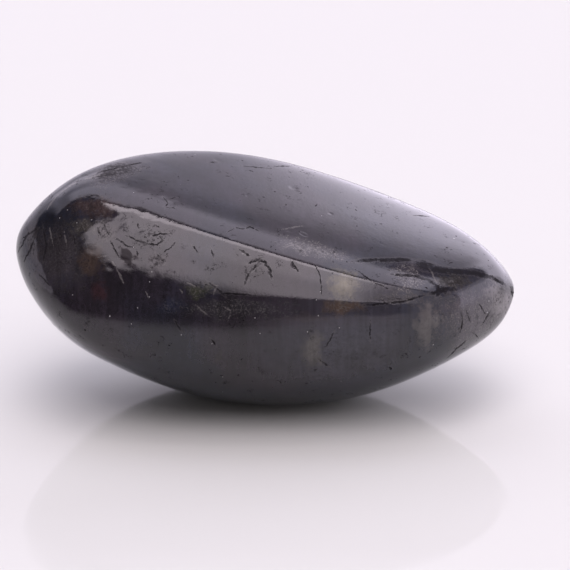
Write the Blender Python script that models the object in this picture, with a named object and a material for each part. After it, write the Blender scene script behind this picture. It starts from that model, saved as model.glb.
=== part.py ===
"""Tumbled spectrolite: one polished pebble of dark feldspar, lying on a small flat spot.

The stone is what tumbling leaves of a broken block. Each of its worn faces is a shallow crown
that looks in its own direction, and the surface is the rounded meeting of all of them. A break
that was too deep to wear out stays as a flat chip, and a few plucked hollows stay open.
+X runs along the stone, the broad polished face looks towards -Y and +Z, and the stone rests
at Z = 0 with its bounding box centred on the origin.
"""

import math

import bmesh
import bpy
import numpy as np

MM = 0.001

# Overall size. Everything else is stated for this length and follows it.
LENGTH = 45.0 * MM

# The worn faces. Each looks towards an azimuth (0 is +X, 90 is +Y) and an elevation in degrees,
# reaches so many mm from the middle of the stone, and is crowned with one radius of curvature
# along the stone and another across it, in mm.
WORN_FACES = {
    "top": (-40.2, 74.7, 6.84, 347, 76),
    "front": (-92, 43.8, 9.26, 108, 27.1),
    "front right": (-50.9, 14.4, 17.47, 44, 20.1),
    "front low": (-90, -14, 11.44, 71, 13.9),
    "belly front": (-90, -50.2, 12.03, 47, 20.6),
    "belly": (-90, -88, 12.05, 51, 25),
    "belly left": (-135, -63.7, 12.51, 86, 41),
    "belly right": (-38.6, -60.4, 14.19, 113, 38),
    "left end": (177.4, 13.5, 23.58, 6.4, 9.4),
    "left front": (-132.2, 26.5, 17.29, 76, 61),
    "left low": (-159.3, -39.2, 19.03, 60, 35),
    "left top": (138.5, 56.1, 17.66, 45, 29.4),
    "right tip": (-7, -25, 29.97, 5.1, 6.6),
    "back": (92, -1.5, 14.39, 35, 28.4),
    "back top": (93.6, 66.3, 14.02, 40, 40),
    "back low": (87.6, -50.4, 12.84, 26, 30),
    "right top": (39.6, 60.6, 12.6, 131, 40),
}

# How crisply neighbouring faces meet, per mm: a larger value leaves a narrower rounded edge.
EDGE_CRISPNESS = 1.3

# Flat chips, cut straight through the worn surface: azimuth, elevation, reach in mm.
CHIPS = {
    "back heel": (58, -38, 16.2),
}

# Plucked hollows: azimuth and elevation seen from the middle of the stone, then length and
# width in mm, depth in mm, and the turn of the long side away from level in degrees.
HOLLOWS = {
    "front gouge": (-97, 26, 3.4, 2.2, 0.28, 15),
    "front left scar": (-151, 17, 4.4, 2.0, 0.26, -50),
    "right chipped run": (-45, 3, 3.2, 1.6, 0.20, -10),
    "right star": (-25, 5, 2.2, 1.6, 0.20, 0),
    "ridge scrape": (-54, 52, 3.6, 1.6, 0.18, -20),
    "left shoulder pit": (-165, 42, 2.2, 2.2, 0.20, 0),
    "left shoulder scar": (169, 34, 4.2, 2.0, 0.20, 0),
    "back notch": (104, 12, 4.2, 2.2, 0.28, 30),
    "back scar": (62, 26, 3.2, 1.8, 0.22, -35),
    "under pit": (-170, -30, 2.6, 1.8, 0.20, 10),
}

# The spot it rests on is cut this far above the lowest point of the rounded belly, in mm.
REST_CUT = 0.38

# Mesh fineness: cells along each side of the starting cube, and how far around a hollow,
# in its own radii, the cells are halved.
CELLS = 23
FINE_REACH = 1.15
PROPORTIONS = (22.5, 12.5, 10.8)
CUBE_HALF_ANGLE = 45.0
RIM_MERGE = 0.08 * MM
SOLVER_STEPS = 40
SOLVER_START = 60.0
LEAST_SLOPE = 0.05

# Polished dark feldspar, in linear light.
STONE_COLOUR = (0.026, 0.023, 0.026, 1.0)
STONE_ROUGHNESS = 0.08


def looking(azimuth, elevation):
    """The unit vector of a direction given in degrees."""
    turn, rise = math.radians(azimuth), math.radians(elevation)
    return np.array([math.cos(rise) * math.cos(turn), math.cos(rise) * math.sin(turn), math.sin(rise)])


def along_and_across(normal):
    """Two directions in a face: one as near to the stone's length as it can be, one across it."""
    length_way = np.array([1.0, 0.0, 0.0]) if abs(normal[0]) < 0.9 else np.array([0.0, 0.0, 1.0])
    along = length_way - (length_way @ normal) * normal
    along /= np.linalg.norm(along)
    return along, np.cross(normal, along)


class WornStone:
    """The rounded meeting of the crowned faces, in mm around the middle of the stone."""

    def __init__(self, faces, crispness):
        rows = list(faces.values())
        self.crispness = crispness
        self.normals = np.array([looking(row[0], row[1]) for row in rows])
        ways = [along_and_across(normal) for normal in self.normals]
        self.along = np.array([way[0] for way in ways])
        self.across = np.array([way[1] for way in ways])
        self.reach = np.array([row[2] for row in rows], float)
        self.bend_along = 1.0 / np.array([row[3] for row in rows], float)
        self.bend_across = 1.0 / np.array([row[4] for row in rows], float)

    def height(self, points):
        """How far points stand outside the surface, and the gradient of that."""
        along, across = points @ self.along.T, points @ self.across.T
        crowned = points @ self.normals.T - self.reach
        crowned += (along**2 * self.bend_along + across**2 * self.bend_across) / 2
        highest = crowned.max(axis=1)
        share = np.exp(self.crispness * (crowned - highest[:, None]))
        total = share.sum(axis=1)
        share /= total[:, None]
        slope = share @ self.normals
        slope += (share * along * self.bend_along) @ self.along
        slope += (share * across * self.bend_across) @ self.across
        return highest + np.log(total) / self.crispness, slope

    def surface(self, directions):
        """The points where rays from the middle of the stone leave the worn surface."""
        radius = np.full(len(directions), SOLVER_START)
        for _ in range(SOLVER_STEPS):
            height, slope = self.height(directions * radius[:, None])
            radius -= height / np.maximum((slope * directions).sum(axis=1), LEAST_SLOPE)
        return directions * radius[:, None]


def cut_chips(points, chips):
    """Draws every point that stands beyond a chip's plane back to it, towards the middle."""
    for azimuth, elevation, reach in chips.values():
        beyond = (points @ looking(azimuth, elevation)) / reach
        points = points / np.maximum(beyond, 1.0)[:, None]
    return points


def hollow_frame(stone, azimuth, elevation, turn):
    """The centre of a hollow on the worn surface, its inward direction and its two axes."""
    centre = stone.surface(looking(azimuth, elevation)[None])[0]
    outward = stone.height(centre[None])[1][0]
    outward /= np.linalg.norm(outward)
    along, across = along_and_across(outward)
    lean = math.radians(turn)
    long_way = along * math.cos(lean) + across * math.sin(lean)
    return centre, -outward, long_way, np.cross(outward, long_way)


def hollow_distance(points, frame, length, width):
    """Distance from a hollow's centre in its own radii, so that 1 is its rim."""
    centre, inward, long_way, short_way = frame
    offset = points - centre
    radial = (offset @ long_way / (length / 2)) ** 2 + (offset @ short_way / (width / 2)) ** 2
    radial += (offset @ inward / (length / 2)) ** 2
    return np.sqrt(radial)


def pluck_hollows(points, stone, hollows):
    """Presses each hollow into the surface, deepest at its middle and level at its rim."""
    moved = points.copy()
    for azimuth, elevation, length, width, depth, turn in hollows.values():
        frame = hollow_frame(stone, azimuth, elevation, turn)
        inside = np.clip(1.0 - hollow_distance(points, frame, length, width) ** 2, 0.0, None)
        moved += frame[1] * (depth * inside**1.5)[:, None]
    return moved


def even_directions(vertices):
    """Directions that spread a cube's grid evenly over a stone of these proportions."""
    grid = np.array([vertex.co[:] for vertex in vertices])
    grid = np.tan(grid * math.radians(CUBE_HALF_ANGLE)) * np.array(PROPORTIONS)
    return grid / np.linalg.norm(grid, axis=1)[:, None]


def halve_cells_near_hollows(mesh, stone, hollows):
    """Splits the grid's cells that a hollow reaches, so that its rim is drawn by enough of them."""
    mesh.verts.ensure_lookup_table()
    points = stone.surface(even_directions(mesh.verts))
    near = np.zeros(len(points), bool)
    for azimuth, elevation, length, width, _, turn in hollows.values():
        frame = hollow_frame(stone, azimuth, elevation, turn)
        near |= hollow_distance(points, frame, length, width) < FINE_REACH
    edges = [edge for edge in mesh.edges if near[edge.verts[0].index] or near[edge.verts[1].index]]
    bmesh.ops.subdivide_edges(mesh, edges=edges, cuts=1, use_grid_fill=True)


def stone_mesh():
    """The closed pebble: a cube's grid laid over the worn surface, then cut flat to rest."""
    stone = WornStone(WORN_FACES, EDGE_CRISPNESS)
    mesh = bmesh.new()
    bmesh.ops.create_cube(mesh, size=2.0)
    bmesh.ops.subdivide_edges(mesh, edges=mesh.edges, cuts=CELLS - 1, use_grid_fill=True)
    halve_cells_near_hollows(mesh, stone, HOLLOWS)
    mesh.verts.ensure_lookup_table()
    points = stone.surface(even_directions(mesh.verts))
    points = pluck_hollows(cut_chips(points, CHIPS), stone, HOLLOWS)
    low, high = points.min(axis=0), points.max(axis=0)
    rest_level = low[2] + REST_CUT
    origin = np.array([(low[0] + high[0]) / 2, (low[1] + high[1]) / 2, rest_level])
    scale = LENGTH / (high[0] - low[0])
    for vertex, point in zip(mesh.verts, (points - origin) * scale):
        vertex.co = point
    cut_rest(mesh)
    bmesh.ops.triangulate(mesh, faces=mesh.faces)
    bmesh.ops.recalc_face_normals(mesh, faces=mesh.faces)
    return mesh


def cut_rest(mesh):
    """Cuts the belly off at Z = 0 and closes the cut with one fan of faces around its middle."""
    everything = mesh.verts[:] + mesh.edges[:] + mesh.faces[:]
    cut = bmesh.ops.bisect_plane(
        mesh, geom=everything, plane_co=(0, 0, 0), plane_no=(0, 0, -1), clear_outer=True
    )
    rim = [item for item in cut["geom_cut"] if isinstance(item, bmesh.types.BMVert)]
    bmesh.ops.remove_doubles(mesh, verts=rim, dist=RIM_MERGE)
    open_edges = [edge for edge in mesh.edges if edge.is_boundary]
    spot = bmesh.ops.holes_fill(mesh, edges=open_edges)["faces"]
    bmesh.ops.poke(mesh, faces=spot)


def stone_material():
    """Dark feldspar with a tumbler's polish."""
    material = bpy.data.materials.new("stone")
    material.use_nodes = True
    shader = material.node_tree.nodes["Principled BSDF"]
    shader.inputs["Base Color"].default_value = STONE_COLOUR
    shader.inputs["Roughness"].default_value = STONE_ROUGHNESS
    shader.inputs["Metallic"].default_value = 0.0
    return material


def main():
    for leftover in list(bpy.data.objects):
        bpy.data.objects.remove(leftover)
    shape = stone_mesh()
    data = bpy.data.meshes.new("stone")
    shape.to_mesh(data)
    shape.free()
    data.shade_smooth()
    data.materials.append(stone_material())
    bpy.context.scene.collection.objects.link(bpy.data.objects.new("stone", data))


main()
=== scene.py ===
"""Tumbled spectrolite: one polished pebble of dark feldspar on a plain pale floor.

The pebble is the rounded meeting of the faces that tumbling wore on a broken block. The frame
holds it as a plain faceted solid. Here the same rule is followed by Geometry Nodes, finely enough
to show the rolling of the polish, the pits and the grooves, and the stone gets its material.
"""

import math

import bpy
import numpy as np
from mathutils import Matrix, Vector


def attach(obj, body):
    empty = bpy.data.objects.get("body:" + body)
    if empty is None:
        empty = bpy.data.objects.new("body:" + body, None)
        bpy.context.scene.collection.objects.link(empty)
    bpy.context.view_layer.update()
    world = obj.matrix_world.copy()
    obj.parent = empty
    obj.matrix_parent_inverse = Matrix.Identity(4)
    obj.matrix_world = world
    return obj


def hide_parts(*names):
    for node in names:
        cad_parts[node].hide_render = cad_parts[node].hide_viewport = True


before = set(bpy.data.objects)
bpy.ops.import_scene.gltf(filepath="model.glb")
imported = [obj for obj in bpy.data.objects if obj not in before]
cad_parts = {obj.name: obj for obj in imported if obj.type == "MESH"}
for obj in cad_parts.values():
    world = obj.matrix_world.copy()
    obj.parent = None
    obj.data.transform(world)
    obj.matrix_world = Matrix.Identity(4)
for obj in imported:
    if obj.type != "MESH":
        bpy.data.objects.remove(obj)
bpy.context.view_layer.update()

bl_info = {
    "name": "Tumbled Spectrolite",
    "version": (1, 0, 0),
    "blender": (4, 5, 0),
    "location": "3D View > Sidebar > Pebble",
    "description": "Builds a tumbled feldspar pebble and the small studio it lies in",
    "category": "Add Mesh",
}

MM = 0.001

# The pebble is worked out in mm around its middle. FRAME_ORIGIN is where the frame's origin lies
# from there, under the middle of the stone at the level it rests on, and FRAME_SCALE is the metres
# in the frame to each of those mm.
FRAME_ORIGIN = (0.0082, 1.6575, -11.4692)
FRAME_SCALE = 0.99721 * MM

# The worn faces: azimuth (0 is +X, 90 is +Y) and elevation of the way each looks in degrees, its
# reach from the middle of the stone in mm, and its radii of curvature along and across in mm.
# EDGE_CRISPNESS is how crisply neighbours meet, per mm.
WORN_FACES = {
    "top": (-40.2, 74.7, 6.84, 347, 76),
    "front": (-92, 43.8, 9.26, 108, 27.1),
    "front right": (-50.9, 14.4, 17.47, 44, 20.1),
    "front low": (-90, -14, 11.44, 71, 13.9),
    "belly front": (-90, -50.2, 12.03, 47, 20.6),
    "belly": (-90, -88, 12.05, 51, 25),
    "belly left": (-135, -63.7, 12.51, 86, 41),
    "belly right": (-38.6, -60.4, 14.19, 113, 38),
    "left end": (177.4, 13.5, 23.58, 6.4, 9.4),
    "left front": (-132.2, 26.5, 17.29, 76, 61),
    "left low": (-159.3, -39.2, 19.03, 60, 35),
    "left top": (138.5, 56.1, 17.66, 45, 29.4),
    "right tip": (-7, -25, 29.97, 5.1, 6.6),
    "back": (92, -1.5, 14.39, 35, 28.4),
    "back top": (93.6, 66.3, 14.02, 40, 40),
    "back low": (87.6, -50.4, 12.84, 26, 30),
    "right top": (39.6, 60.6, 12.6, 131, 40),
}
EDGE_CRISPNESS = 1.3

# A flat chip that was too deep to wear out: azimuth, elevation and reach in mm.
CHIPS = {
    "back heel": (58, -38, 16.2),
}

# The marks of wear and of what the stone was broken from. Each lies where a way from the middle
# of the stone meets its surface: azimuth and elevation in degrees, then length and width in mm
# and the turn of its long side away from level in degrees.
# Cracks, pits and torn grains that stay dull and dark, and along the wedge's edge a painted dark
# reflection.
DARK_MARKS = {
    "scar field": (
        (-155.9, 21.8, 0.66, 0.15, -27), (-153.9, 21.5, 0.98, 0.14, -44),
        (-151.9, 21.3, 0.72, 0.15, -14), (-153.3, 24.1, 1.22, 0.15, -31),
        (-149.9, 24.3, 1.10, 0.15, -21), (-152.5, 31.5, 0.43, 0.16, 39),
        (-151.7, 32.1, 0.55, 0.16, -33), (-146.7, 25.0, 1.04, 0.16, -9),
        (-148.5, 29.0, 0.84, 0.16, 16), (-147.0, 30.4, 0.69, 0.17, -2),
        (-146.0, 28.2, 0.64, 0.14, -57), (-145.2, 26.8, 0.68, 0.16, 32),
        (-155.9, 28.6, 0.62, 0.14, -79), (-148.2, 19.9, 0.50, 0.14, -65),
        (-130.5, 29.3, 0.71, 0.15, -55), (-121.6, 29.8, 0.82, 0.14, -75),
        (-155.0, 19.2, 1.26, 0.14, -67), (-152.4, 17.6, 0.98, 0.14, -53),
        (-161.4, 21.6, 1.01, 0.14, -71), (-161.1, 23.2, 1.06, 0.14, -66),
        (-140.8, 25.3, 1.00, 0.15, 37), (-140.4, 27.8, 0.61, 0.15, 56),
        (-140.8, 21.0, 1.00, 0.14, -52), (-104.6, 34.0, 0.69, 0.16, -43),
    ),
    "top": (
        (-166.0, 41.9, 0.92, 0.11, -63), (-162.1, 40.9, 0.71, 0.11, 75),
        (-159.8, 40.8, 0.73, 0.13, -7), (-167.8, 44.3, 0.69, 0.14, 29),
        (123.9, 46.0, 0.83, 0.21, 29), (96.9, 46.4, 2.44, 0.23, 15), (80.3, 38.4, 1.76, 0.23, 37),
        (18.2, 16.4, 1.67, 0.21, 30), (-119.3, 47.4, 1.16, 0.11, 46),
        (-114.8, 50.6, 0.93, 0.13, 0), (-109.3, 52.8, 0.89, 0.11, 39),
        (-102.8, 53.9, 0.92, 0.14, -27),
    ),
    "gouge": (
        (-96.6, 29.0, 0.90, 0.22, 27), (-91.9, 29.4, 0.95, 0.22, -15),
        (-88.5, 26.8, 1.06, 0.21, -58), (-86.6, 22.6, 1.01, 0.20, -77),
        (-96.5, 25.0, 1.28, 0.21, 51), (-99.4, 19.8, 1.13, 0.20, 69),
        (-103.8, 33.8, 0.92, 0.22, -40), (-72.0, 25.5, 1.12, 0.22, -58),
    ),
    "upright crack": (
        (-60.4, 21.1, 1.47, 0.13, -67), (-61.7, 14.9, 1.98, 0.13, -87),
        (-42.3, 15.1, 1.45, 0.17, -40), (-39.8, 10.2, 1.32, 0.15, -21),
    ),
    "lower ridge": (
        (-103.8, 11.6, 2.95, 0.16, -4), (-115.9, 14.6, 1.00, 0.16, -37),
        (-112.3, 12.4, 0.99, 0.16, -46),
    ),
    "dark crack": (
        (-32.7, 19.2, 1.94, 0.45, 23), (-25.6, 16.6, 1.58, 0.48, 20),
        (-21.5, 14.9, 1.82, 0.48, 21),
    ),
    "fine crack": (
        (-28.5, 10.8, 2.06, 0.33, 12), (-25.6, 8.9, 1.59, 0.36, -6),
        (-24.8, 6.9, 1.43, 0.34, -28),
    ),
    "star": (
        (-26.1, 4.9, 1.79, 0.36, 29), (-25.2, 5.3, 1.15, 0.46, -16), (-22.7, 4.7, 1.48, 0.39, 21),
        (-25.8, 5.0, 1.35, 0.32, 64),
    ),
    # The wedge's edge marks are dull dark strokes that also paint part of the dark reflection along
    # the wedge's edge, carrying the dark line on where the shape does not reflect it.
    "wedge edge": (
        (-18.1, 10.5, 1.70, 1.20, -8),
    ),
    "wedge edge 2": (
        (-16.8, 8.8, 2.18, 0.85, 9), (-13.7, 6.9, 2.49, 0.63, 21),
    ),
    "wedge edge 3": (
        (-10.8, 5.2, 1.99, 0.46, 19), (-8.5, 3.5, 2.25, 0.38, 19),
    ),
    "wedge tip": (
        (-5.8, 1.3, 2.41, 0.32, 3),
    ),
    "chipped run": (
        (-43.9, 4.6, 2.27, 0.20, 6), (-38.5, 4.5, 1.69, 0.20, 10), (-34.1, 4.8, 1.65, 0.20, 26),
    ),
    "right lower": (
        (-22.5, -2.9, 1.02, 0.15, -78), (-22.5, -5.6, 1.36, 0.17, 78),
        (-20.0, -3.9, 1.54, 0.14, -63), (-16.0, -10.0, 3.18, 0.11, -58),
        (-20.7, -15.0, 1.63, 0.29, 54), (-20.1, -12.4, 1.23, 0.27, 21),
        (-14.3, -3.5, 1.73, 0.14, -49), (-12.6, -5.9, 1.31, 0.19, 33),
    ),
    "right rim": (
        (-0.6, -3.0, 1.19, 0.85, 25),
    ),
    "low": (
        (-61.3, -7.3, 0.81, 0.14, 66), (-62.3, -9.8, 0.72, 0.14, 62),
        (-63.0, -20.4, 1.24, 0.15, -49), (-112.5, -10.2, 0.68, 0.14, -54),
        (-48.4, -4.9, 1.85, 0.14, -89), (-125.9, -3.0, 0.96, 0.14, -58),
    ),
    "left end": (
        (-177.9, 11.2, 1.59, 0.17, -2), (-176.2, 13.3, 1.53, 0.16, 2),
        (-178.2, 8.2, 1.76, 0.22, 21), (-177.5, 10.8, 1.32, 0.24, 33),
        (-174.2, 7.7, 1.83, 0.20, 40), (-174.0, 10.6, 1.28, 0.21, 54),
        (171.2, 34.2, 2.41, 0.27, 33), (164.3, 37.2, 2.56, 0.28, 38),
        (-173.8, 28.2, 0.63, 0.16, 23), (-173.5, 29.1, 0.75, 0.16, -20),
        (-173.0, 27.9, 0.83, 0.14, -30), (-172.7, 28.8, 0.71, 0.16, 36),
        (-170.9, 13.7, 1.95, 0.16, -73), (-168.7, 11.0, 1.44, 0.18, 71),
        (-166.1, 13.9, 1.39, 0.14, -78), (-163.7, 16.8, 1.18, 0.13, -78),
        (-165.4, 4.9, 1.67, 0.14, -37),
    ),
}

# Healed cracks and bruised rims that show pale.
PALE_MARKS = {
    "rims": (
        (-178.1, 21.5, 1.97, 0.26, 46), (179.5, 26.1, 2.64, 0.29, 28),
        (176.5, 31.7, 3.57, 0.28, 18), (-20.9, 8.7, 2.92, 0.17, -73),
        (-51.9, 55.8, 2.24, 0.22, 33), (-68.5, 39.3, 1.32, 0.18, 37),
        (-62.8, 37.2, 1.24, 0.19, -49), (-58.0, 34.7, 1.23, 0.19, 31),
        (-52.1, 31.8, 1.61, 0.21, -29), (-155.2, 15.5, 1.16, 0.14, 7),
        (-169.9, 15.1, 1.94, 0.16, -76), (-165.9, 16.2, 1.63, 0.15, -80),
    ),
    "frosted streak": (
        (-151.5, 14.6, 1.24, 0.16, -47), (-148.0, 11.9, 1.68, 0.17, -64),
    ),
    "dark band": (
        (-118.1, 3.5, 1.73, 0.14, -40), (-127.7, 10.1, 0.93, 0.14, -64),
        (-116.0, 15.0, 1.10, 0.14, -20), (-114.3, 12.7, 1.03, 0.14, 64),
        (-107.4, 4.6, 1.03, 0.14, -27), (-106.0, 1.8, 1.09, 0.14, 72),
        (-138.0, 7.2, 0.83, 0.14, -60), (-125.0, 13.5, 0.92, 0.14, -28),
    ),
}

# Painted glints on single grains, a pale grey standing in for light off tiny chips, and small dull
# pits: azimuth and elevation of each, and their width in mm.
# Each is drawn as a stroke that is DOT_STRETCH as long as it is wide.
PAINTED_GLINTS = (
    (-167.4, 21.0), (-171.7, 19.8), (-172.3, 22.4), (-165.9, 23.5), (-156.7, 21.8),
    (-139.4, 11.8), (-155.3, 3.8), (-139.7, -2.6), (-124.6, -6.6), (-137.2, 6.7), (-139.2, 2.7),
    (-111.5, -30.2), (-116.0, -43.1), (-70.9, -5.3), (-58.5, -3.5), (-63.1, 11.5), (-65.7, 8.3),
    (-66.0, 1.6),
)
SMALL_PITS = (
    (125.0, 54.2), (113.2, 39.5), (90.9, 2.0), (70.2, 35.4), (53.5, 46.3), (17.7, 73.7),
    (16.9, 33.2), (40.6, 25.7), (4.5, 25.0), (-2.7, 10.9), (9.7, 8.8), (5.4, 8.1), (-49.2, 23.6),
    (-42.4, 21.7), (-42.5, 28.2),
)
GLINT_WIDTH = 0.09
PIT_WIDTH = 0.2
DOT_STRETCH = 1.1

# Coloured regions of the feldspar: place and size as for a mark, colour in linear light, how
# strongly the colour shows, and how far the region is cracked and frosted.
PATCHES = {
    "right belly": ((-58.0, -13.5, 16.5, 9.6, 6), (0.034, 0.033, 0.045), 0.85, 0, 0),
    "dark band": ((-105.6, 4.7, 10.93, 1.76, 0), (0.026, 0.0245, 0.028), 0.8, 0, 0.5),
    "right end": ((-17.2, -4.9, 10.43, 5.69, -21), (0.052, 0.044, 0.052), 0.8, 0.3, 0.7),
    "left end": ((-164.8, 11.8, 8.43, 6.63, -35), (0.030, 0.026, 0.029), 0.9, 0.5, 0.2),
    "left rind": ((-174.9, 11.6, 5.51, 2.26, -76), (0.034, 0.028, 0.03), 0.9, 0.6, 0.2),
    "brown": ((-156.8, 14.4, 3.23, 2.20, -84), (0.060, 0.041, 0.032), 0.9, 0.2, 0.1),
    "red": ((-149.6, 6.0, 1.80, 1.64, -77), (0.040, 0.017, 0.021), 0.8, 0, 0),
    "grey green": ((-165.5, 21.2, 3.04, 1.59, -12), (0.056, 0.051, 0.045), 0.9, 0.5, 0.5),
    "rust cap": ((-169.5, 26.9, 4.6, 2.6, -7), (0.036, 0.024, 0.023), 0.95, 0.7, 0.3),
    "scar haze": ((-160.3, 22.4, 2.84, 2.16, -80), (0.04, 0.034, 0.035), 0.7, 0.8, 0.3),
    "plum": ((-150.1, 17.8, 2.49, 1.24, -57), (0.030, 0.015, 0.024), 0.95, 2.2, 0),
    "mottled": ((-141.8, 19.6, 2.69, 2.43, -15), (0.03, 0.023, 0.028), 0.8, 1.1, 0.3),
    "scars": ((-149.5, 26.7, 4.29, 2.40, -4), (0.02, 0.017, 0.02), 0.4, 0.9, 0.1),
    "olive": ((-121.9, 11.8, 2.30, 1.43, -1), (0.031, 0.034, 0.020), 0.85, 0.2, 0.6),
    "navy": ((-129.0, 3.7, 2.84, 1.76, 0), (0.015, 0.017, 0.031), 0.9, 0, 0.3),
    "gouge": ((-94.8, 25.3, 2.47, 2.13, 1), (0.02, 0.016, 0.018), 0.6, 0.9, 0.1),
    "blue": ((-26.4, 2.6, 4.36, 1.11, 11), (0.014, 0.015, 0.022), 0.8, 0, 0),
    "wedge": ((-19.4, 6.0, 3.50, 2.04, 24), (0.036, 0.031, 0.023), 0.95, 1.6, 0.8),
    "granular": ((-29.3, 10.1, 4.44, 2.67, 78), (0.038, 0.034, 0.038), 0.8, 0.6, 1.8),
    "shoulder": ((171.3, 35.1, 6.61, 3.71, 49), (0.045, 0.04, 0.045), 0.8, 1.3, 0.9),
    "ridge scrape": ((-53.5, 33.7, 6.39, 2.39, -9), (0.050, 0.046, 0.050), 0.8, 0.5, 2.0),
    "pink": ((-70.9, 1.7, 4.93, 0.70, 0), (0.03, 0.024, 0.028), 0.7, 0, 0),
    "rust": ((-55.6, 4.3, 3.89, 1.41, 0), (0.058, 0.038, 0.026), 0.9, 0.1, 0.4),
    "cream": ((-52.4, 13.4, 3.3, 2.7, 75), (0.115, 0.103, 0.070), 0.95, 0.2, 0.3),
    "beige": ((-68.6, -13.7, 4.2, 1.9, -89), (0.085, 0.078, 0.070), 0.75, 0, 0.1),
    "smear": ((-32.9, -4.0, 5.0, 2.0, -88), (0.125, 0.114, 0.110), 0.75, 0, 0.1),
    "low olive": ((-110.8, -18.7, 1.87, 0.89, 89), (0.022, 0.019, 0.019), 0.7, 0, 0),
    "right rind": ((-7.1, -3.6, 5.2, 3.2, -42), (0.180, 0.166, 0.172), 0.9, 0.5, 0.8),
    "run": ((-38.9, 4.9, 5.08, 0.92, 3), (0.024, 0.021, 0.024), 0.7, 0.9, 0.5),
    "back crack": ((97.0, 9.0, 10.0, 3.6, 27), (0.032, 0.028, 0.032), 0.7, 1.7, 0.9),
    "back rust": ((62.0, 22.0, 5.0, 3.0, -32), (0.055, 0.039, 0.029), 0.85, 1.2, 0.6),
    "back haze": ((128.0, -12.0, 8.0, 5.5, 8), (0.043, 0.040, 0.047), 0.7, 1.0, 0.6),
}

# The dark marks that are also cut as grooves: width, depth and reach into the stone in mm.
GROOVES = ("wedge tip", "gouge")
GROOVE_WIDTH = 0.6
GROOVE_DEPTH = 0.04
GROOVE_REACH = 1.0

# Plucked hollows: place and size as for a mark, with a depth in mm before the turn. Tumbling has
# filled most of each, and HOLLOW_KEPT is the share of its depth that is left. Its floor keeps
# TORN_FLOOR of that, with steps that noise adds or takes away.
HOLLOW_KEPT = 0.22
HOLLOW_REACH = 2.0
TORN_FLOOR = 0.35
TORN_STEPS = 1.2
HOLLOWS = {
    "front gouge": (-97, 26, 3.4, 2.2, 0.28, 15),
    "front left scar": (-151, 17, 4.4, 2.0, 0.26, -50),
    "right chipped run": (-45, 3, 3.2, 1.6, 0.20, -10),
    "right star": (-25, 5, 2.2, 1.6, 0.20, 0),
    "ridge scrape": (-54, 52, 3.6, 1.6, 0.18, -20),
    "left shoulder pit": (-165, 42, 2.2, 2.2, 0.20, 0),
    "left shoulder scar": (169, 34, 4.2, 2.0, 0.20, 0),
    "back notch": (104, 12, 4.2, 2.2, 0.28, 30),
    "back scar": (62, 26, 3.2, 1.8, 0.22, -35),
    "under pit": (-170, -30, 2.6, 1.8, 0.20, 10),
}

# How far the polish rolls in mm: a little everywhere, more at the left end, and at the right end
# by a share of that. The ends fade in between two places along the stone.
ROLLING = 0.008
END_ROLLING = 0.07
RIGHT_END_SHARE = 0.25
LEFT_END = (-13.0, -5.0)
RIGHT_END = (13.0, 18.0)
PIT_DEPTH = 0.014

# The starting grid: cells along, across and up the stone, the point that its rays leave from and
# the spread of them, in mm. It lies near the polished front, so that the cells are finest there.
# EVEN_ANGLES goes from cells of even width on a flat side (0) to cells of even angles (1).
CELLS = (200, 95, 95)
CELL_INPUTS = ("Cells Along", "Cells Across", "Cells Up")
RAY_SOURCE = (0.0, -2.5, 2.0)
RAY_SPREAD = (22.5, 12.5, 10.8)
EVEN_ANGLES = 0.5

# The walk back along a ray to the worn surface: where it starts in mm, how many steps it takes,
# and the least slope that a step is worked out with.
RAY_START = 26.0
WEAR_STEPS = 14
LEAST_SLOPE = 0.05

# The noises of the surface and of the stone: cells per mm, detail and roughness, and a shift in
# mm where one would otherwise repeat another.
NOISES = {
    "rolling": (0.5, 3.0, 0.55),
    "torn steps": (1.3, 3.0, 0.7),
    "grain": (2.6, 3.0, 0.7),
    "sand": (6.0, 2.0, 0.7),
    "clouds": (0.22, 4.0, 0.6),
    "tone": (0.1, 2.0, 0.5, (31.0, 7.0, 3.0)),
    "sheets": (1.0, 2.0, 0.5),
    "pale veins": (1.9, 3.0, 0.5, (5.0, 17.0, 9.0)),
    "fading": (1.7, 2.0, 0.5, (3.0, 11.0, 7.0)),
    "crack veins": (2.0, 3.0, 0.5),
    "cracked regions": (0.9, 2.0, 0.5, (13.0, 3.0, 21.0)),
}

# Noises that move places about: cells per mm, and how far they move a place in mm.
WARPS = {
    "torn": (1.1, 0.35),
    "wandering": (0.7, 1.0),
    "frayed": (2.6, 0.15),
}
WARP_DETAIL = 2.0

# Small marks scattered through the stone: mm from one to the next, half width in mm, and how many
# times longer than wide. Each fades out between two shares of its half width.
SCATTERED = {
    "pits": (3.2, 0.3, 2.0),
    "painted glints": (2.1, 0.06, 1.5),
    # Painted glints: pale spots standing in for light glinting off tiny chips.
    "dull strokes": (1.8, 0.085, 4.0),
}
SCATTERED_RIM = (0.6, 1.1)

# Where each smooth change starts and ends, in the measure of what it reads: a noise around 0,
# half sizes from the middle of a hollow, groove or patch, and the square of those for a stroke.
EDGES = {
    "hollow": (0.35, 1.05),
    "groove": (0.2, 1.0),
    "warm tone": (-0.1, 0.12),
    "patch": (0.3, 1.3),
    "broken up": (-0.12, 0.08),
    "pale vein": (0.004, 0.03),
    "frost": (0.04, 0.16),
    "pale mark": (0.2, 1.6),
    "painted glint": (0.4, 1.4),
    "fading": (-0.2, 0.1),
    "dull mark": (0.7, 1.8),
    # The rim of a dull mark, where its painted highlight lies.
    "inside of a rim": (1.4, 2.2),
    "outside of a rim": (2.4, 4.0),
    "crack vein": (0.01, 0.045),
    "cracked region": (0.1, 0.16),
    "blot": (0.16, 0.3),
    "duller polish": (0.0, 0.3),
}

# How strongly each kind of place shows, from 0 to 1.
STRENGTHS = {
    "frost": 0.8,
    "pale marks": 0.7,
    # Painted glints on single grains.
    "painted glints": 0.8,
    # Painted highlights on the rims of dull marks.
    "painted rim highlights": 0.35,
    "crack veins": 0.85,
    "blots": 0.75,
    "dull places": 0.92,
}
# How strongly a dull mark still shows where it fades most.
FADED = 0.5

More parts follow.
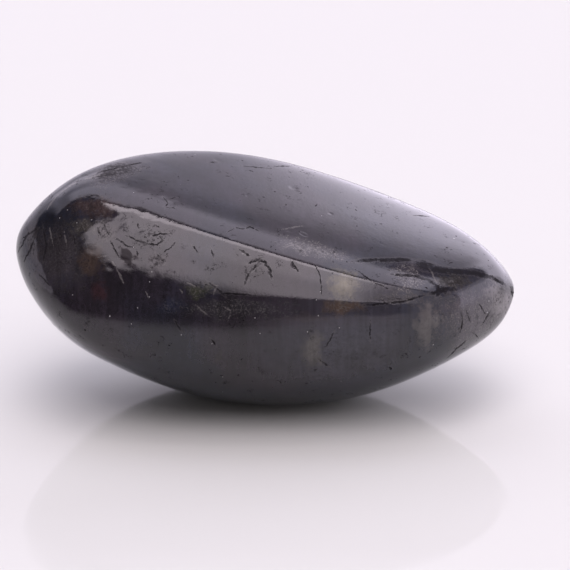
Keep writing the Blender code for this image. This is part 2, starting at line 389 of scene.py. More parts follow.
# How far noise lightens and darkens the body, and how ragged it makes patches and strokes.
CLOUD_CONTRAST = 2.0
SHEET_CONTRAST = 1.0
GRAIN_CONTRAST = 1.6
PATCH_RAGGED_BY_GRAIN = 1.6
STROKE_RAGGED_BY_SAND = 5.0
STROKE_RAGGED_BY_GRAIN = 2.0

# The crystal's sheets stand upright: how much closer the grain lies across them than along them.
SHEET_SQUEEZE = (2.4, 0.5, 0.18)

# How cracked the stone is outside the patches, and how far its cracks spread veins and blots.
CRACKED_ANYWHERE = 0.03
VEIN_SPREAD = 0.22
BLOT_SPREAD = 0.2

# The polish and the dull stone under it: index of refraction, how much rougher the polish is on
# bright clouds, the relief of grain and sand in mm, and the look of a broken surface.
REFRACTION = 1.56
POLISH_VARIATION = 0.03
GRAIN_RELIEF = 0.004
SAND_RELIEF = 0.0008
BROKEN_ROUGHNESS = 0.7
BROKEN_SPECULAR = 0.06

# A stroke's squared distance where no stroke is near.
FAR_FROM_STROKES = 9.0

# The floor, a board with a faint sheen.
FLOOR_SIDES = 96
FLOOR_ROUGHNESS = 0.04
FLOOR_SPECULAR = 0.15

# The studio, as panels of light around the stone, each laid over those before it. A panel has its
# brightness and the corners of its outline, anticlockwise. A corner is degrees to the right of the
# stone's middle plane, degrees over the stone from the floor in front (0) through overhead (90) to
# the floor behind (180), and the softness of the edge that leaves it.
ROOM_LIGHT = 0.12
# The light from below level, and how far down it fades in, as the downward part of a direction.
FLOOR_LIGHT = 0.8
FLOOR_FADE = 0.02
# The tint of the light in front of and over the stone, and behind it, and where they meet.
FRONT_TINT = (1.0, 0.89, 0.965)
REAR_TINT = (0.96, 0.885, 1.045)
TINTS_MEET = (99.0, 108.0)
LIGHT_PANELS = {
    "room, right": (0.3, ((1, -30, 8), (99, -30, 8), (99, 99, 1), (1, 99, 8))),
    "room, far right": (0.85, ((28, -30, 8), (99, -30, 8), (99, 99, 1), (28, 99, 8))),
    "front edge of the floor": (0.3, ((-60, -30, 1), (99, -30, 8), (99, 6, 8), (-60, 6, 1))),
    "front edge, right": (0.85, ((0, -30, 1), (99, -30, 8), (99, 12, 6), (0, 12, 8))),
    "soft box": (
        2.6,
        ((-2, 39, 1.5), (21, 39, 3), (21, 99.5, 1), (-12.5, 99.5, 1.5), (-12.5, 90, 2), (-11, 50, 5)),
    ),
    "soft box, left corner": (2.8, ((-32, 72, 4), (-8, 48, 1), (-8, 90, 2))),
    "soft box, upper": (
        3.3,
        ((-24, 72, 8), (22, 64, 3), (22, 99.5, 1), (-12.5, 99.5, 1.5), (-12.5, 87, 2)),
    ),
    "soft box, dim end": (1.2, ((13, 40, 3), (32, 49, 2), (27, 100, 2), (18.5, 100, 3))),
    "bright rear edge": (5.4, ((-12, 95, 1.5), (17, 95, 3), (17, 99.5, 1), (-12, 99.5, 1.5))),
    "backdrop": (0.95, ((-99, 102.2, 1), (99, 102.2, 1), (99, 220, 1), (-99, 220, 1))),
    "backdrop, top": (
        2.13,
        ((-30, 104, 2), (28, 104, 3), (28, 123, 6), (17, 131, 5), (-30, 119, 6)),
    ),
    "backdrop, left glow": (2.1, ((-38, 132, 6), (-6, 126, 6), (-7, 153, 5), (-36, 160, 5))),
    "backdrop, right glow": (2.75, ((12.2, 144, 6), (60, 141, 2), (60, 230, 5), (4, 185, 4))),
    "backdrop, far right glow": (3.0, ((24, 137, 3), (60, 139, 2), (60, 230, 5), (24, 230, 5))),
    "backdrop, shade": (0.72, ((2, 131, 5), (17.5, 134, 3), (17.5, 139, 3), (6, 141, 6))),
    "flag": (
        0.35,
        ((16, 128, 1.5), (33, 108, 1.5), (36, 93, 2), (50, 93, 3), (50, 136.5, 0.8), (16, 136.5, 0.6)),
    ),
    "flag, dark edge": (0.15, ((16, 129, 2), (42, 129, 3), (46, 136.5, 0.8), (16, 136.5, 0.6))),
    "right panel": (1.75, ((58, 105, 4), (99, 105, 4), (99, 230, 4), (58, 230, 4))),
    "dark left": (0.08, ((-99, -30, 1), (-52, -30, 5), (-50, 157, 5), (-99, 150, 1))),
    "left rear": (0.65, ((-99, 158, 4), (-41, 156, 5), (-40, 230, 1), (-99, 230, 1))),
}

# The camera: its distance from the middle of the stone in mm, its height above level in degrees,
# and where the middle of the stone falls in the square frame, in pixels right of and below its
# centre, at so many pixels to the mm. The sensor's width is in mm, and the clipping in metres.
CAMERA_DISTANCE = 350.0
CAMERA_RISE = 20.0
FRAME_PIXELS = 570
STONE_IN_FRAME = (-20.0, -7.0)
PIXELS_PER_MM = 11.075
SENSOR = 36.0
CLIP_START = 0.01
CLIP_END = 20.0


def looking(azimuth, elevation):
    """The unit vector of a direction given in degrees."""
    turn, rise = math.radians(azimuth), math.radians(elevation)
    return np.array([math.cos(rise) * math.cos(turn), math.cos(rise) * math.sin(turn), math.sin(rise)])


def along_and_across(normal):
    """Two directions in a face: one as near to the stone's length as it can be, one across it."""
    length_way = np.array([1.0, 0.0, 0.0]) if abs(normal[0]) < 0.9 else np.array([0.0, 0.0, 1.0])
    along = length_way - (length_way @ normal) * normal
    along /= np.linalg.norm(along)
    return along, np.cross(normal, along)


def worn_rows():
    """The worn faces as arrays: outward, along and across, reach, and the bend both ways."""
    outward = np.array([looking(row[0], row[1]) for row in WORN_FACES.values()])
    ways = [along_and_across(way) for way in outward]
    sizes = np.array([row[2:] for row in WORN_FACES.values()], float)
    along, across = (np.array([way[side] for way in ways]) for side in (0, 1))
    return outward, along, across, sizes[:, 0], 1 / sizes[:, 1], 1 / sizes[:, 2]


WORN_ROWS = worn_rows()


def worn_height(point):
    """How far a point stands outside the worn faces, and the gradient of that."""
    outward, along, across, reach, bend_along, bend_across = WORN_ROWS
    on_along, on_across = along @ point, across @ point
    heights = outward @ point - reach + (on_along**2 * bend_along + on_across**2 * bend_across) / 2
    share = np.exp(EDGE_CRISPNESS * (heights - heights.max()))
    height = heights.max() + math.log(share.sum()) / EDGE_CRISPNESS
    share /= share.sum()
    slope = share @ outward + (share * on_along * bend_along) @ along
    return height, slope + (share * on_across * bend_across) @ across


def mark_frame(azimuth, elevation, turn):
    """A mark's middle on the worn surface, its long way, its short way and the way it faces."""
    way = looking(azimuth, elevation)
    radius = RAY_START
    for _ in range(WEAR_STEPS):
        height, slope = worn_height(way * radius)
        radius -= height / max(slope @ way, LEAST_SLOPE)
    outward = slope / np.linalg.norm(slope)
    along, across = along_and_across(outward)
    lean = math.radians(turn)
    long_way = along * math.cos(lean) + across * math.sin(lean)
    return way * radius, long_way, np.cross(outward, long_way), outward


def dots(places, width):
    """Round marks at places of azimuth and elevation, as a table of short strokes."""
    return {"dots": [(*way, width * DOT_STRETCH, width, 0) for way in places]}


class Value:
    """A node's socket that stands in Python expressions, which add the nodes they need."""

    def __init__(self, recipe, socket):
        self.recipe = recipe
        self.socket = socket

    def joined(self, operation, other, swapped=False):
        """This value and another through one operation, with the other first if swapped."""
        pair = (other, self) if swapped else (self, other)
        return self.recipe.maths(operation, *pair)

    def __add__(self, other):
        return self.joined("ADD", other)

    def __radd__(self, other):
        return self.joined("ADD", other, True)

    def __sub__(self, other):
        return self.joined("SUBTRACT", other)

    def __rsub__(self, other):
        return self.joined("SUBTRACT", other, True)

    def __mul__(self, other):
        return self.joined("MULTIPLY", other)

    def __rmul__(self, other):
        return self.joined("MULTIPLY", other, True)

    def __truediv__(self, other):
        return self.joined("DIVIDE", other)

    def __rtruediv__(self, other):
        return self.joined("DIVIDE", other, True)

    def __neg__(self):
        return self * -1.0


class Recipe:
    """Adds nodes to one tree."""

    def __init__(self, tree):
        self.tree = tree

    def node(self, kind, settings=None, **sockets):
        """One node: its settings first, then a value or a link for each socket named."""
        made = self.tree.nodes.new(kind)
        for name, value in (settings or {}).items():
            setattr(made, name, value)
        for name, value in sockets.items():
            self.feed(named_socket(made.inputs, name), value)
        return made

    def feed(self, socket, value):
        """Links a value into a socket, or sets the socket to a plain number or colour."""
        if isinstance(value, Value):
            self.tree.links.new(value.socket, socket)
        elif socket.type == "RGBA" and len(value) == 3:
            socket.default_value = (*value, 1.0)
        else:
            socket.default_value = value

    def out(self, made, name=0):
        """A node's output as a value for expressions."""
        socket = made.outputs[name] if isinstance(name, int) else named_socket(made.outputs, name)
        return Value(self, socket)

    def maths(self, operation, *values):
        """A Math node, or a Vector Math node where a vector takes part."""
        vectors = [is_vector(value) for value in values]
        if not any(vectors):
            made = self.node("ShaderNodeMath", {"operation": operation})
            for socket, value in zip(made.inputs, values):
                self.feed(socket, value)
            return self.out(made)
        if operation in ("MULTIPLY", "DIVIDE") and not all(vectors):
            vector, number = values if vectors[0] else values[::-1]
            if operation == "DIVIDE":
                number = 1.0 / number
            made = self.node("ShaderNodeVectorMath", {"operation": "SCALE"})
            self.feed(made.inputs[0], vector)
            self.feed(made.inputs["Scale"], number)
            return self.out(made)
        made = self.node("ShaderNodeVectorMath", {"operation": operation})
        for socket, value in zip(made.inputs, values):
            self.feed(socket, value if isinstance(value, Value) else tuple(value))
        return self.out(made, "Value" if operation in ("DOT_PRODUCT", "LENGTH") else 0)

    def dot(self, vector, way):
        """How far a vector reaches along a way."""
        return self.maths("DOT_PRODUCT", vector, way)

    def greater(self, first, second):
        """The greater of two values."""
        return self.maths("MAXIMUM", first, second)

    def vector(self, x, y, z):
        """A vector from its three parts."""
        return self.out(self.node("ShaderNodeCombineXYZ", X=x, Y=y, Z=z))

    def parts(self, vector):
        """The three parts of a vector."""
        made = self.node("ShaderNodeSeparateXYZ", Vector=vector)
        return [self.out(made, name) for name in ("X", "Y", "Z")]

    def rise(self, value, start, end):
        """0 before start, 1 after end, and a smooth rise between them."""
        settings = {"interpolation_type": "SMOOTHSTEP"}
        sockets = {"Value": value, "From_Min": start, "From_Max": end, "To_Min": 0.0, "To_Max": 1.0}
        return self.out(self.node("ShaderNodeMapRange", settings, **sockets))

    def past(self, edge, value):
        """0 before a named edge, 1 past it, and a smooth rise between them."""
        return self.rise(value, *EDGES[edge])

    def before(self, edge, value):
        """1 before a named edge, 0 past it, and a smooth fall between them."""
        return 1 - self.past(edge, value)

    def noise(self, vector, name):
        """A named noise around 0, between about -0.5 and 0.5."""
        scale, detail, roughness, *shifts = NOISES[name]
        for shift in shifts:
            vector = vector + shift
        sockets = {"Scale": scale, "Detail": detail, "Roughness": roughness}
        return self.out(self.node("ShaderNodeTexNoise", Vector=vector, **sockets)) - 0.5

    def warped(self, vector, name):
        """The vector, moved about by a named warp."""
        scale, reach = WARPS[name]
        noise = self.node("ShaderNodeTexNoise", Vector=vector, Scale=scale, Detail=WARP_DETAIL)
        return vector + (self.out(noise, "Color") - (0.5, 0.5, 0.5)) * (2 * reach)

    def on_mark(self, place, mark, depth):
        """Distance from a mark's middle in its own half sizes, so that 1 is its rim."""
        azimuth, elevation, length, width, turn = mark
        middle, long_way, short_way, outward = mark_frame(azimuth, elevation, turn)
        offset = place - middle
        ways = (long_way / (length / 2), short_way / (width / 2), outward / depth)
        return self.maths("LENGTH", self.vector(*(self.dot(offset, way) for way in ways)))

    def on_stroke(self, place, mark):
        """Squared distance from a slender mark's middle in its own half sizes."""
        azimuth, elevation, length, width, turn = mark
        middle, long_way, _, _ = mark_frame(azimuth, elevation, turn)
        slender = math.sqrt(1 - (width / length) ** 2)
        offset = (place - middle) * (2 / width)
        along = self.dot(offset, long_way * slender)
        return self.dot(offset, offset) - along * along

    def nearest(self, place, table):
        """Squared distance to the nearest of a table's strokes, each in its own half sizes."""
        least = FAR_FROM_STROKES
        for marks in table.values():
            for mark in marks:
                least = self.maths("MINIMUM", self.on_stroke(place, mark), least)
        return least

    def scattered(self, place, name):
        """1 on a named kind of small marks scattered through the stone, and 0 off them."""
        cell, size, stretch = SCATTERED[name]
        cells = self.node("ShaderNodeTexVoronoi", Vector=place, Scale=1 / cell, Randomness=1.0)
        way = self.maths("NORMALIZE", self.out(cells, "Color") - (0.5, 0.5, 0.5))
        offset = place - self.out(cells, "Position")
        along = self.dot(offset, way)
        reach = self.dot(offset, offset) - along * along * (1 - 1 / stretch**2)
        return 1 - self.rise(reach, *((share * size) ** 2 for share in SCATTERED_RIM))

    def mix(self, factor, first, second):
        """Goes from the first colour to the second as the factor goes from 0 to 1."""
        made = self.node("ShaderNodeMix", {"data_type": "RGBA"})
        sockets = [socket for socket in made.inputs if socket.enabled]
        for socket, value in zip(sockets, (factor, first, second)):
            self.feed(socket, value)
        return Value(self, [socket for socket in made.outputs if socket.enabled][0])


def named_socket(sockets, name):
    """The socket whose label matches, with spaces written as underscores."""
    wanted = name.replace("_", " ")
    for socket in sockets:
        if socket.name == wanted and socket.enabled:
            return socket
    raise KeyError(f"no socket called {wanted}")


def is_vector(value):
    """Whether a value, or the socket behind it, is a vector or a colour."""
    if isinstance(value, Value):
        return value.socket.type in ("VECTOR", "RGBA")
    return not isinstance(value, (int, float))


def colour_setting(name, description, default):
    """A colour in linear light for a group of settings."""
    return bpy.props.FloatVectorProperty(
        name=name, description=description, default=default, subtype="COLOR", min=0.0, max=1.0
    )


class PebbleSettings(bpy.types.PropertyGroup):
    """Sizes and colours of the pebble."""

    edge_crispness: bpy.props.FloatProperty(
        name="Edge Crispness",
        description="How crisply neighbouring worn faces meet, per mm",
        default=EDGE_CRISPNESS,
        min=0.3,
        max=4.0,
    )
    cells: bpy.props.IntVectorProperty(
        name="Cells",
        description="Cells of the mesh along, across and up the stone",
        default=CELLS,
        min=8,
    )
    cool_colour: colour_setting("Cool Colour", "Bluish clouds of the body", (0.0110, 0.0126, 0.0210))
    warm_colour: colour_setting("Warm Colour", "Plum clouds of the body", (0.0180, 0.0140, 0.0200))
    # Painted glints: a pale grey standing in for light off tiny chips.
    bruise_colour: colour_setting("Bruise Colour", "Pale marks and frost", (0.13, 0.123, 0.12))
    glint_colour: colour_setting("Glint Colour", "Single painted glints", (0.5, 0.5, 0.5))
    # Painted highlight: a pale ring around each dull mark stands in for the light its rim catches.
    rim_highlight_colour: colour_setting("Rim Highlight Colour", "Painted highlights on rims of cracks and pits", (0.07, 0.065, 0.065))
    crack_colour: colour_setting("Crack Colour", "Dull cracks and torn grains", (0.007, 0.0055, 0.007))
    polish_roughness: bpy.props.FloatProperty(
        name="Polish Roughness",
        description="Roughness of the tumbled polish",
        default=0.02,
        min=0.0,
        max=1.0,
        subtype="FACTOR",
    )


class StudioSettings(bpy.types.PropertyGroup):
    """The floor and the light."""

    floor_colour: colour_setting("Floor Colour", "Colour of the plain floor", (0.735, 0.760, 0.720))
    floor_radius: bpy.props.FloatProperty(
        name="Floor Radius",
        description="Radius of the round floor",
        default=4.0,
        unit="LENGTH",
        subtype="DISTANCE",
    )
    light_strength: bpy.props.FloatProperty(
        name="Light Strength",
        description="Brightness of the whole studio",
        default=1.0,
        min=0.0,
    )


def worn_height_group(crispness):
    """Node group: how far a point stands outside the worn faces, and its slope along a ray."""
    group = bpy.data.node_groups.new("Height Above Worn Faces", "GeometryNodeTree")
    sockets = group.interface
    for name in ("Position", "Ray"):
        sockets.new_socket(name, in_out="INPUT", socket_type="NodeSocketVector")
    usual = sockets.new_socket("Crispness", in_out="INPUT", socket_type="NodeSocketFloat")
    usual.default_value = crispness
    for name in ("Height", "Slope"):
        sockets.new_socket(name, in_out="OUTPUT", socket_type="NodeSocketFloat")
    make = Recipe(group)
    given = group.nodes.new("NodeGroupInput")
    point, ray, crisp = (make.out(given, name) for name in ("Position", "Ray", "Crispness"))
    total, lean = 0.0, 0.0
    for azimuth, elevation, reach, radius_along, radius_across in WORN_FACES.values():
        outward = looking(azimuth, elevation)
        along, across = along_and_across(outward)
        on_along, on_across = make.dot(point, along), make.dot(point, across)
        crown = on_along * on_along / (2 * radius_along) + on_across * on_across / (2 * radius_across)
        height = make.dot(point, outward) + crown - reach
        share = make.maths("EXPONENT", height * crisp)
        slope = make.dot(ray, outward)
        slope = slope + on_along * make.dot(ray, along) / radius_along
        slope = slope + on_across * make.dot(ray, across) / radius_across
        total = share + total
        lean = share * slope + lean
    result = group.nodes.new("NodeGroupOutput")
    make.feed(result.inputs["Height"], make.maths("LOGARITHM", total, math.e) / crisp)
    make.feed(result.inputs["Slope"], lean / total)
    return group


class PebbleShape:
    """Geometry Nodes that grow the pebble from a grid of rays, one stage after another."""

    def __init__(self):
        self.tree = bpy.data.node_groups.new("Worn Pebble", "GeometryNodeTree")
        self.tree.is_modifier = True
        sockets = self.tree.interface
        sockets.new_socket("Geometry", in_out="INPUT", socket_type="NodeSocketGeometry")
        for name in CELL_INPUTS:
            sockets.new_socket(name, in_out="INPUT", socket_type="NodeSocketInt")
        sockets.new_socket("Edge Crispness", in_out="INPUT", socket_type="NodeSocketFloat")
        sockets.new_socket("Geometry", in_out="OUTPUT", socket_type="NodeSocketGeometry")
        self.make = Recipe(self.tree)
        self.given = self.tree.nodes.new("NodeGroupInput")

    def moved(self, shape, **sockets):
        """The shape with its points at a new Position, or moved by an Offset."""
        return self.make.out(self.make.node("GeometryNodeSetPosition", Geometry=shape, **sockets))

    def rays(self):
        """A closed box of cells, drawn out into rays that leave the source evenly."""
        make = self.make
        counts = [make.out(self.given, name) + 1.0 for name in CELL_INPUTS]
        box = make.node(
            "GeometryNodeMeshCube", Size=(2.0, 2.0, 2.0),
            Vertices_X=counts[0], Vertices_Y=counts[1], Vertices_Z=counts[2],
        )
        self.place = make.out(make.node("GeometryNodeInputPosition"))
        spread = []
        for axis, width in zip(make.parts(self.place), RAY_SPREAD):
            bent = make.maths("TANGENT", axis * (math.pi / 4))
            spread.append((axis * (1 - EVEN_ANGLES) + bent * EVEN_ANGLES) * width)
        ray = make.maths("NORMALIZE", make.vector(*spread))
        stored = make.node(
            "GeometryNodeStoreNamedAttribute", {"data_type": "FLOAT_VECTOR", "domain": "POINT"},
            Geometry=make.out(box, "Mesh"), Name="ray", Value=ray,
        )
        read = make.node("GeometryNodeInputNamedAttribute", {"data_type": "FLOAT_VECTOR"}, Name="ray")
        self.ray = make.out(read)
        return self.moved(make.out(stored), Position=self.ray * RAY_START + RAY_SOURCE)

    def worn(self, shape):
        """Each pass walks every point back along its ray to the worn surface."""
        make, nodes = self.make, self.tree.nodes
        height = worn_height_group(EDGE_CRISPNESS)
        first = nodes.new("GeometryNodeRepeatInput")
        last = nodes.new("GeometryNodeRepeatOutput")
        first.pair_with_output(last)
        first.inputs["Iterations"].default_value = WEAR_STEPS
        make.feed(first.inputs["Geometry"], shape)
        above = make.node(
            "GeometryNodeGroup", {"node_tree": height},
            Position=self.place, Ray=self.ray, Crispness=make.out(self.given, "Edge Crispness"),
        )
        step = make.out(above, "Height") / make.out(above, "Slope")
        walked = self.moved(make.out(first, "Geometry"), Offset=self.ray * (-step))
        make.feed(last.inputs["Geometry"], walked)
        return make.out(last, "Geometry")

    def chipped(self, shape):
        """The flat chips: a point beyond a chip's plane is drawn back to it."""
        cut = self.place
        for azimuth, elevation, reach in CHIPS.values():
            cut = cut / self.make.greater(self.make.dot(cut, looking(azimuth, elevation)) / reach, 1.0)
        return self.moved(shape, Position=cut)

    def tumbled(self, shape):
        """Tumbling leaves the polish slightly rolling, more so at both ends, and open pits."""
        make, place = self.make, self.place
        x = make.parts(place)[0]
        ends = 1 - make.rise(x, *LEFT_END) + make.rise(x, *RIGHT_END) * RIGHT_END_SHARE
        relief = make.noise(place, "rolling") * (ROLLING + ends * END_ROLLING)
        relief = relief - make.scattered(place, "pits") * PIT_DEPTH
        torn = make.warped(place, "torn")
        steps = make.noise(place, "torn steps")
        for azimuth, elevation, length, width, depth, turn in HOLLOWS.values():
            reach = make.on_mark(torn, (azimuth, elevation, length, width, turn), HOLLOW_REACH)
            inside = make.before("hollow", reach)
            relief = relief - inside * (TORN_FLOOR + steps * TORN_STEPS) * depth * HOLLOW_KEPT
        for marks in GROOVES:
            for azimuth, elevation, length, _, turn in DARK_MARKS[marks]:
                groove = (azimuth, elevation, length, GROOVE_WIDTH, turn)
                reach = make.on_mark(place, groove, GROOVE_REACH)
                relief = relief - make.before("groove", reach) * GROOVE_DEPTH
        facing = make.out(make.node("GeometryNodeInputNormal"), "Normal")
        return self.moved(shape, Offset=facing * relief)

    def framed(self, shape):
        """Into the frame, and flat where it rests."""
        make = self.make
        x, y, z = make.parts((self.place - FRAME_ORIGIN) * FRAME_SCALE)
        return self.moved(shape, Position=make.vector(x, y, make.greater(z, 0.0)))

    def finished(self, shape, material):
        """Smooth, real and of its material."""
        make = self.make
        shape = make.out(make.node("GeometryNodeSetShadeSmooth", Geometry=shape, Shade_Smooth=True))
        shape = make.out(make.node("GeometryNodeRealizeInstances", Geometry=shape))
        shape = make.out(make.node("GeometryNodeSetMaterial", Geometry=shape, Material=material))
        result = self.tree.nodes.new("NodeGroupOutput")
        make.feed(result.inputs["Geometry"], shape)
        return self.tree


def pebble_tree(material):
    """The whole tree of the pebble."""
    pebble = PebbleShape()
    shape = pebble.worn(pebble.rays())
    shape = pebble.tumbled(pebble.chipped(shape))
    return pebble.finished(pebble.framed(shape), material)


def grown_mesh(name, tree, inputs):
    """An object with the plain mesh that a tree makes of its named inputs."""
    grown = bpy.data.objects.new(name, bpy.data.meshes.new(name))
    bpy.context.scene.collection.objects.link(grown)
    modifier = grown.modifiers.new("Shape", "NODES")
    modifier.node_group = tree
    for socket in tree.interface.items_tree:
        if socket.in_out == "INPUT" and socket.name in inputs:
            modifier[socket.identifier] = inputs[socket.name]
    bpy.context.view_layer.update()
    evaluated = grown.evaluated_get(bpy.context.evaluated_depsgraph_get())
    mesh = bpy.data.meshes.new_from_object(evaluated)
    grown.modifiers.clear()
    grown.data = mesh
    mesh.name = name
    return grown


class Feldspar:
    """The stone's colour and its dull places, from noise and marks in mm around its middle."""

    def __init__(self, make, settings):
        self.make = make
        self.settings = settings
        on_object = make.out(make.node("ShaderNodeTexCoord"), "Object")
        self.place = on_object * (1 / FRAME_SCALE) + FRAME_ORIGIN
        self.wandering = make.warped(self.place, "wandering")
        self.frayed = make.warped(self.place, "frayed")
        self.grain = make.noise(self.place, "grain")
        self.sand = make.noise(self.place, "sand")

    def add_body(self):
        """Bluish and plum clouds, coloured patches, fine grain and faint upright sheets."""
        make, settings = self.make, self.settings
        self.clouds = make.noise(self.place, "clouds")
        warm = make.past("warm tone", make.noise(self.place, "tone"))
        colour = make.mix(warm, settings.cool_colour, settings.warm_colour)
        self.cracked, self.frosted = CRACKED_ANYWHERE, 0.0
        for mark, shade, strength, cracks, frost in PATCHES.values():
            reach = make.on_mark(self.wandering, mark, mark[3]) + self.grain * PATCH_RAGGED_BY_GRAIN
            inside = make.before("patch", reach)
            colour = make.mix(inside * strength, colour, shade)
            if cracks:
                self.cracked = make.greater(inside * cracks, self.cracked)
            if frost:
                self.frosted = make.greater(inside * frost, self.frosted)
        sheets = make.noise(self.place * SHEET_SQUEEZE, "sheets")
        colour = colour * (1 + self.clouds * CLOUD_CONTRAST)
        colour = colour * (1 + sheets * SHEET_CONTRAST)
        self.colour = colour * (1 + self.grain * GRAIN_CONTRAST)
        self.ragged = self.sand * STROKE_RAGGED_BY_SAND + self.grain * STROKE_RAGGED_BY_GRAIN

    def add_pale_marks(self):
        """Healed cracks and frosting, which are only a change of colour, and painted glints: pale grey
        spots standing in for light off tiny chips.
        """
        make, settings = self.make, self.settings
        pale = make.nearest(self.frayed, PALE_MARKS) + self.ragged
        veins = make.noise(self.frayed, "pale veins")
        self.broken_up = make.past("broken up", self.sand)
        vein = make.before("pale vein", make.maths("ABSOLUTE", veins)) * self.frosted * self.broken_up
        frost = make.past("frost", self.sand) * self.frosted * STRENGTHS["frost"]
        pale = make.greater(make.before("pale mark", pale) * STRENGTHS["pale marks"], vein)
        self.colour = make.mix(make.greater(pale, frost), self.colour, settings.bruise_colour)
        # Painted glints: pale grey where light would glint off tiny chips, both scattered and at the
        # listed places.
        bright = make.scattered(self.place, "painted glints")
        on_glint = make.nearest(self.place, dots(PAINTED_GLINTS, GLINT_WIDTH))
        bright = make.greater(bright, make.before("painted glint", on_glint))
        self.colour = make.mix(bright * STRENGTHS["painted glints"], self.colour, settings.glint_colour)

    def add_dull_places(self):
        """Cracks, torn grains and pits have lost the polish. A painted highlight lines each mark: a
        pale ring standing in for the light that its rim catches.
        """
        make = self.make
        on_crack = make.nearest(self.frayed, DARK_MARKS)
        on_pit = make.nearest(self.frayed, dots(SMALL_PITS, PIT_WIDTH))
        torn = make.maths("MINIMUM", on_crack, on_pit) + self.ragged
        fading = make.past("fading", make.noise(self.place, "fading")) * (1 - FADED) + FADED
        dull = make.before("dull mark", torn) * fading
        dull = make.greater(dull, make.scattered(self.frayed, "dull strokes") * fading)
        # Painted highlight: a pale ring around each dull mark, standing in for the light that its rim
        # catches.
        rim = make.past("inside of a rim", torn) * make.before("outside of a rim", torn)
        self.colour = make.mix(rim * STRENGTHS["painted rim highlights"], self.colour, self.settings.rim_highlight_colour)
        cracks = make.noise(self.frayed, "crack veins")
        regions = make.noise(self.place, "cracked regions")
        vein = make.before("crack vein", make.maths("ABSOLUTE", cracks))
        cover = make.past("cracked region", regions + self.cracked * VEIN_SPREAD)
        blots = make.past("blot", self.grain + self.cracked * BLOT_SPREAD)
        veins = vein * cover * self.broken_up * STRENGTHS["crack veins"]
        self.dull = make.greater(dull, make.greater(veins, blots * STRENGTHS["blots"]))

    def surface(self):
        """The polished stone, with the broken one showing through where it is dull."""
        make, settings = self.make, self.settings
        polish = settings.polish_roughness + make.past("duller polish", self.clouds) * POLISH_VARIATION
        relief = self.grain * GRAIN_RELIEF + self.sand * SAND_RELIEF
        bump = make.node("ShaderNodeBump", Height=relief, Distance=MM, Strength=1.0)
        polished = make.node(
            "ShaderNodeBsdfPrincipled", Base_Color=self.colour, Roughness=polish, IOR=REFRACTION,
            Normal=make.out(bump),
        )
        broken = make.node(
            "ShaderNodeBsdfPrincipled", Base_Color=settings.crack_colour,
            Roughness=BROKEN_ROUGHNESS, IOR=REFRACTION, Specular_IOR_Level=BROKEN_SPECULAR,
        )
        both = make.node("ShaderNodeMixShader", Fac=self.dull * STRENGTHS["dull places"])
        make.feed(both.inputs[1], make.out(polished))
        make.feed(both.inputs[2], make.out(broken))
        return make.out(both)


def stone_material(settings):
    """Dark feldspar with a tumbler's polish: clouded, patched, cracked and pitted."""
    material = bpy.data.materials.new("polished feldspar")
    material.use_nodes = True
    material.node_tree.nodes.clear()
    make = Recipe(material.node_tree)
    stone = Feldspar(make, settings)
    stone.add_body()
    stone.add_pale_marks()
    stone.add_dull_places()
    make.node("ShaderNodeOutputMaterial", Surface=stone.surface())
    return material


def floor_material(settings):
    """A plain pale board with a faint sheen."""
    material = bpy.data.materials.new("pale board")
    material.use_nodes = True
    shader = material.node_tree.nodes["Principled BSDF"]
    shader.inputs["Base Color"].default_value = (*settings.floor_colour, 1.0)
    shader.inputs["Roughness"].default_value = FLOOR_ROUGHNESS
    shader.inputs["Specular IOR Level"].default_value = FLOOR_SPECULAR
    return material


class PEBBLE_OT_stone(bpy.types.Operator):
    """Grow the pebble and give it its stone"""

    bl_idname = "pebble.stone"
    bl_label = "Build Pebble"

    def execute(self, context):
        settings = context.scene.pebble
        material = stone_material(settings)
        tree = pebble_tree(material)
        inputs = dict(zip(CELL_INPUTS, settings.cells))
        inputs["Edge Crispness"] = settings.edge_crispness
        stone = grown_mesh("polished_pebble", tree, inputs)
        if not stone.data.polygons:
            raise RuntimeError("the pebble came out empty")
        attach(stone, "root")
        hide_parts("stone")
        return {"FINISHED"}


class PEBBLE_OT_studio(bpy.types.Operator):
    """Lay the floor, light it softly and set the camera"""

    bl_idname = "pebble.studio"
    bl_label = "Build Studio"

    def execute(self, context):
        settings = context.scene.pebble_studio
        lay_floor(context, settings)
        paint_surroundings(context, settings)
        set_camera(context)
        context.scene.view_settings.view_transform = "Standard"
        return {"FINISHED"}


def lay_floor(context, settings):
    """A round floor, level with the spot that the pebble rests on."""
    radius = settings.floor_radius
    turns = [2 * math.pi * side / FLOOR_SIDES for side in range(FLOOR_SIDES)]
    rim = [(radius * math.cos(turn), radius * math.sin(turn), 0.0) for turn in turns]
    data = bpy.data.meshes.new("floor")
    data.from_pydata(rim, [], [tuple(range(FLOOR_SIDES))])
    data.materials.append(floor_material(settings))
    floor = bpy.data.objects.new("floor", data)
    context.scene.collection.objects.link(floor)


def paint_surroundings(context, settings):
    """The studio as a world: each panel of light is laid over those before it."""
    world = bpy.data.worlds.new("studio")
    world.use_nodes = True
    context.scene.world = world
    make = Recipe(world.node_tree)
    way = make.out(make.node("ShaderNodeTexCoord"), "Generated")
    x, y, z = make.parts(way)
    degrees = 180 / math.pi
    over = make.maths("ARCTAN2", z, -y) * degrees
    side = make.maths("ARCSINE", x) * degrees
    light = ROOM_LIGHT
    for brightness, corners in LIGHT_PANELS.values():
        light = light + (brightness - light) * within(make, side, over, corners)
    below = 1 - make.rise(z, -FLOOR_FADE, 0.0)
    light = light + (FLOOR_LIGHT - light) * below
    tint = make.mix(make.rise(over, *TINTS_MEET), FRONT_TINT, REAR_TINT)
    background = world.node_tree.nodes["Background"]
    make.feed(background.inputs["Color"], tint * light)
    background.inputs["Strength"].default_value = settings.light_strength


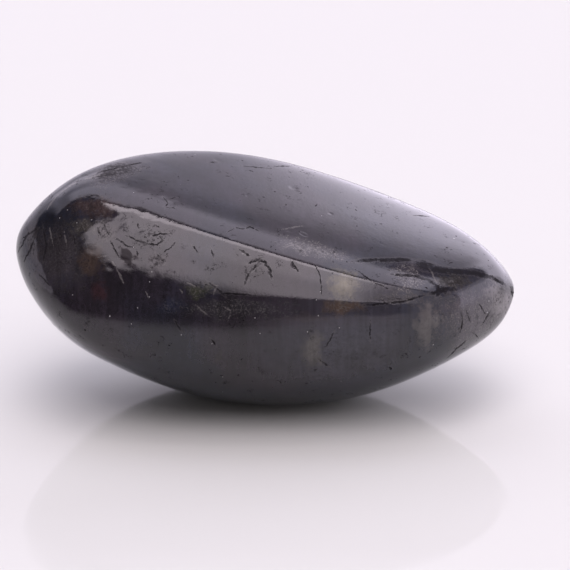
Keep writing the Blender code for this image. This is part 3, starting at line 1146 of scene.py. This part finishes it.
def within(make, side, over, corners):
    """1 inside a convex outline and 0 outside it, with an edge of its own softness at each side."""
    mask = 1.0
    for (x, y, soft), (next_x, next_y, _) in zip(corners, corners[1:] + corners[:1]):
        run, climb = next_x - x, next_y - y
        length = math.hypot(run, climb)
        inside = over * (run / length) - side * (climb / length)
        level = (y * run - x * climb) / length
        mask = make.rise(inside, level - soft, level + soft) * mask
    return mask


def set_camera(context):
    """A long lens, level with the horizon at its sides and looking a little down."""
    rise = math.radians(CAMERA_RISE)
    back = Vector((0.0, -math.cos(rise), math.sin(rise)))
    up = Vector((0.0, math.sin(rise), math.cos(rise)))
    middle = -Vector(FRAME_ORIGIN) * FRAME_SCALE
    right_shift = -STONE_IN_FRAME[0] / PIXELS_PER_MM * MM
    down_shift = -STONE_IN_FRAME[1] / PIXELS_PER_MM * MM
    aim = middle + Vector((right_shift, 0.0, 0.0)) - up * down_shift
    data = bpy.data.cameras.new("camera")
    data.sensor_width = SENSOR
    data.lens = PIXELS_PER_MM * CAMERA_DISTANCE / FRAME_PIXELS * SENSOR
    data.clip_start = CLIP_START
    data.clip_end = CLIP_END
    camera = bpy.data.objects.new("camera", data)
    camera.location = aim + back * (CAMERA_DISTANCE * MM)
    camera.rotation_mode = "QUATERNION"
    camera.rotation_quaternion = (-back).to_track_quat("-Z", "Y")
    context.scene.collection.objects.link(camera)
    context.scene.camera = camera


class PEBBLE_PT_panel(bpy.types.Panel):
    """The pebble's settings and its two buttons"""

    bl_idname = "PEBBLE_PT_panel"
    bl_label = "Tumbled Spectrolite"
    bl_space_type = "VIEW_3D"
    bl_region_type = "UI"
    bl_category = "Pebble"

    def draw(self, context):
        scene = context.scene
        groups = ((scene.pebble, "pebble.stone"), (scene.pebble_studio, "pebble.studio"))
        for settings, operator in groups:
            box = self.layout.box()
            for name in settings.__annotations__:
                box.prop(settings, name)
            box.operator(operator)


CLASSES = (PebbleSettings, StudioSettings, PEBBLE_OT_stone, PEBBLE_OT_studio, PEBBLE_PT_panel)


def register():
    for made in CLASSES:
        bpy.utils.register_class(made)
    bpy.types.Scene.pebble = bpy.props.PointerProperty(type=PebbleSettings)
    bpy.types.Scene.pebble_studio = bpy.props.PointerProperty(type=StudioSettings)


def unregister():
    del bpy.types.Scene.pebble_studio
    del bpy.types.Scene.pebble
    for made in reversed(CLASSES):
        bpy.utils.unregister_class(made)


def main():
    register()
    bpy.ops.pebble.stone()
    bpy.ops.pebble.studio()


if __name__ == "__main__":
    main()
